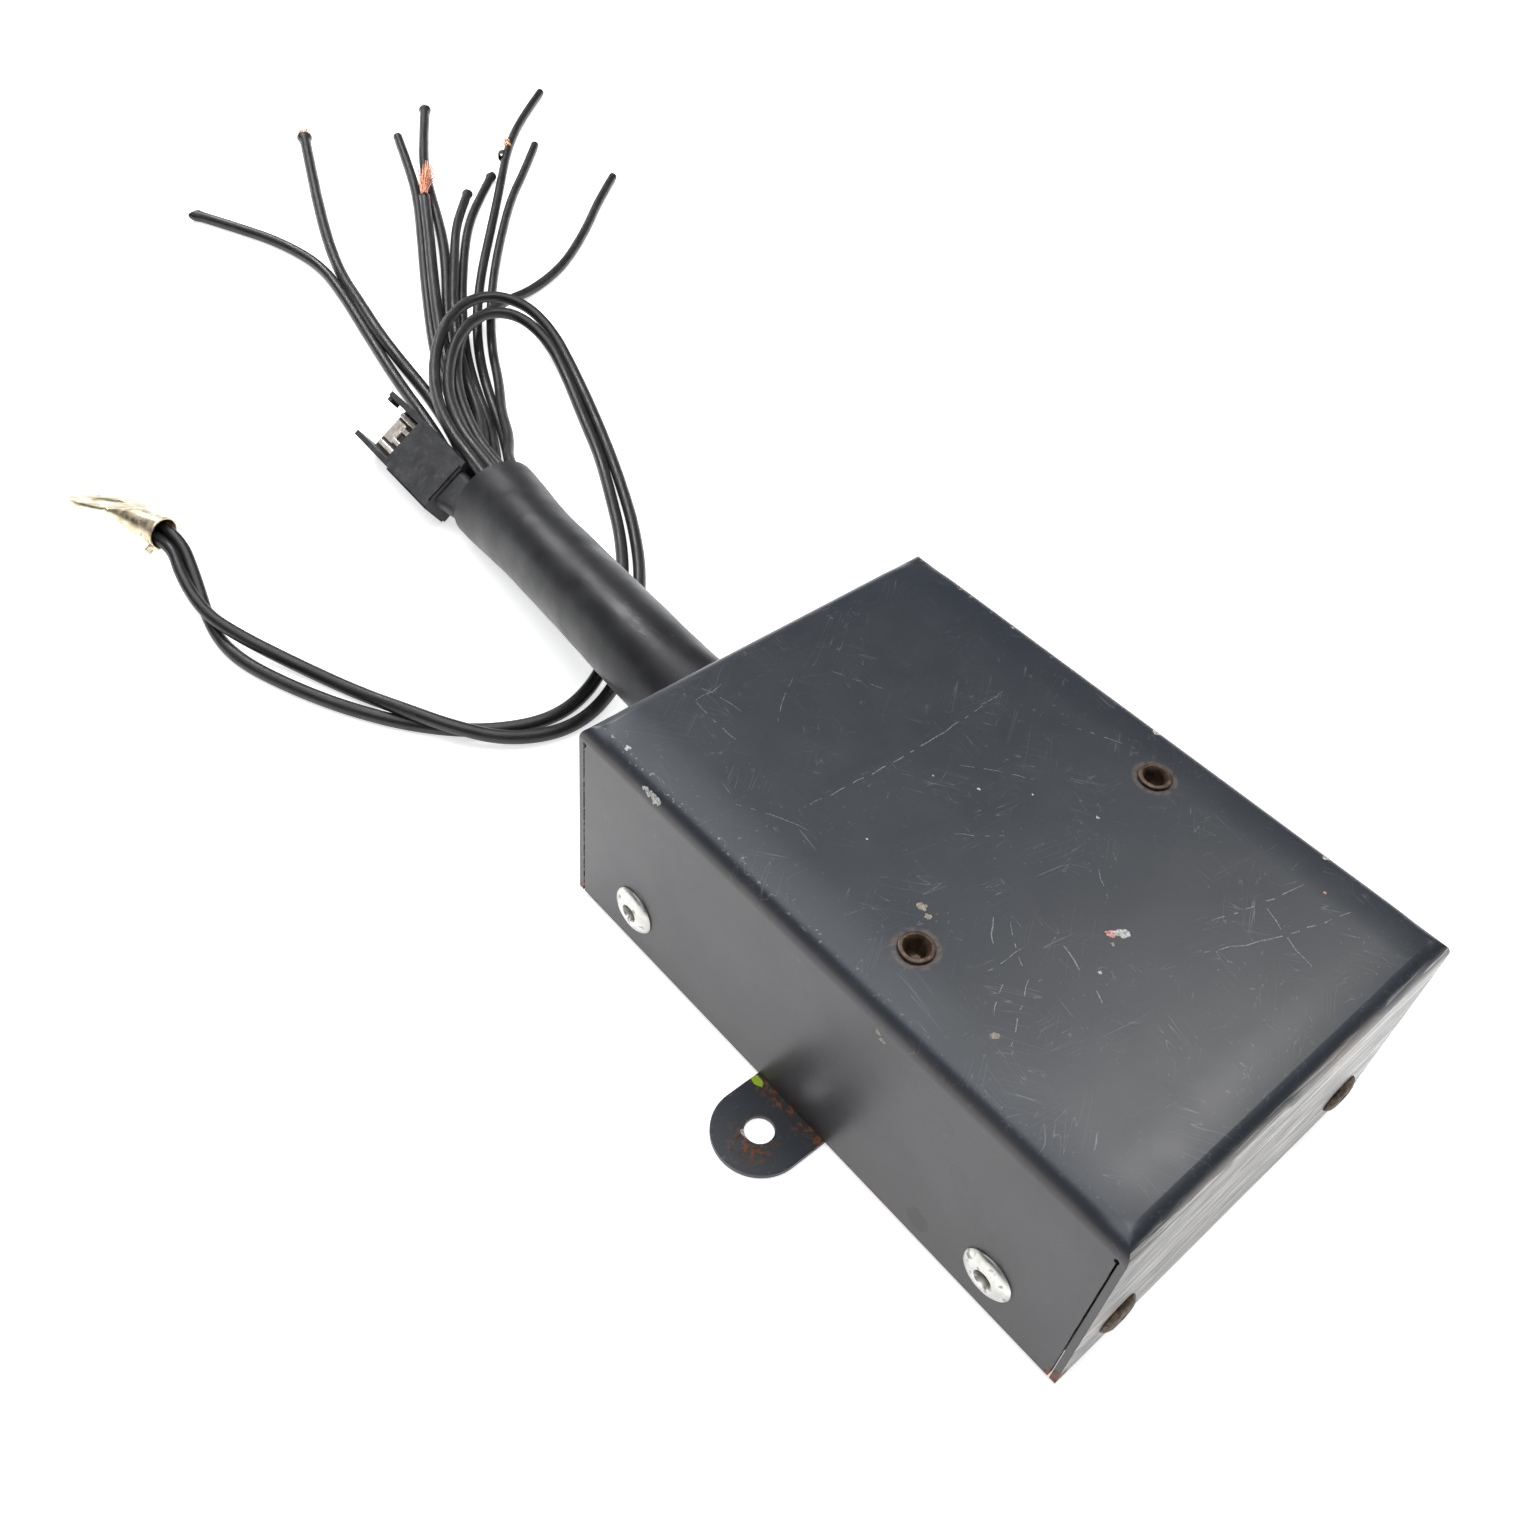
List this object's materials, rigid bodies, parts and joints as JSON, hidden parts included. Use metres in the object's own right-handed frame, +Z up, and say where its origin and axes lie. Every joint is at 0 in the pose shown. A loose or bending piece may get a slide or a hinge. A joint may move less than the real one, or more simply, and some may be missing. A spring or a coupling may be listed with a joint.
{
  "type": "portable power distribution box",
  "caption": "Low riveted sheet-steel case with bolt-down ears that switches and shares out power to a rubber-sleeved harness of loose wires, a keyed connector and a ring terminal.",
  "frame": {"origin": "centre of the case's underside, midway between the two ear holes", "axes": "+Z up out of the cover's top; +Y along the case towards the end wall that the harness leaves; +X across, along the line of the ears"},
  "size_m": [0.2289, 0.4256, 0.0463],
  "materials": {
    "case_paint": "satin blue-grey powder coat on folded steel, worn at the edges",
    "tray_paint": "satin blue-grey powder coat, rusty along the ear roots",
    "bright_rivet": "bare bright aluminium",
    "rusty_rivet": "rusty steel",
    "hollow_rivet": "rusty steel",
    "zinc_steel": "zinc plated",
    "breaker_case": "moulded black",
    "board_green": "solder mask",
    "terminal_green": "moulded green",
    "relay_plastic": "moulded cream",
    "magnet_wire": "enamelled copper winding",
    "spring_brass": "phosphor bronze",
    "sleeve_rubber": "matte black, dusty along its top",
    "tie_nylon": "black nylon",
    "wire_insulation": "satin black insulation",
    "connector_black": "fine-grained black",
    "contact_metal": "tinned and bare brass",
    "terminal_brass": "dull tinned brass",
    "bare_copper": "bare copper strands"
  },
  "bodies": {
    "case": {"cover": "case_paint", "base_plate": "tray_paint", "side_rivets": "bright_rivet", "end_rivets": "rusty_rivet", "top_rivets": "hollow_rivet", "breaker_bracket": "zinc_steel", "circuit_breakers": "breaker_case", "breaker_nuts": "zinc_steel", "circuit_board": "board_green", "board_standoffs": "zinc_steel", "board_screws": "zinc_steel", "board_header": "tie_nylon", "terminal_block": "terminal_green", "terminal_screws": "zinc_steel", "relay_bases": "relay_plastic", "relay_yokes": "zinc_steel", "relay_bobbins": "relay_plastic", "relay_windings": "magnet_wire", "relay_cores": "zinc_steel", "relay_springs": "spring_brass", "relay_fixed_contacts": "spring_brass", "sleeve": "sleeve_rubber", "cable_tie": "tie_nylon", "inner_harness": "wire_insulation", "connector_cable": "wire_insulation", "connector_boot": "connector_black", "connector_housing": "connector_black", "connector_contacts": "contact_metal", "ring_terminal": "terminal_brass", "bare_copper": "bare_copper", "wire_1": "wire_insulation", "wire_2": "wire_insulation", "wire_3": "wire_insulation", "wire_4": "wire_insulation", "wire_5": "wire_insulation", "wire_6": "wire_insulation", "wire_7": "wire_insulation", "wire_8": "wire_insulation", "wire_9": "wire_insulation", "wire_10": "wire_insulation", "ground_wire_a": "wire_insulation", "ground_wire_b": "wire_insulation"},
    "left_armature": {"left_relay_armature": "zinc_steel", "left_relay_contact": "spring_brass"},
    "right_armature": {"right_relay_armature": "zinc_steel", "right_relay_contact": "spring_brass"}
  },
  "joints": [
    {"name": "left_relay_hinge", "type": "hinge", "parent": "case", "child": "left_armature", "pos_m": [-0.0155, -0.0238, 0.0282], "axis": [1, 0, 0], "range_deg": [0, 5], "stiffness_Nm_per_rad": 0.004, "springref_deg": -8.59},
    {"name": "right_relay_hinge", "type": "hinge", "parent": "case", "child": "right_armature", "pos_m": [0.0155, -0.0238, 0.0282], "axis": [1, 0, 0], "range_deg": [0, 5], "stiffness_Nm_per_rad": 0.004, "springref_deg": -8.59}
  ]
}
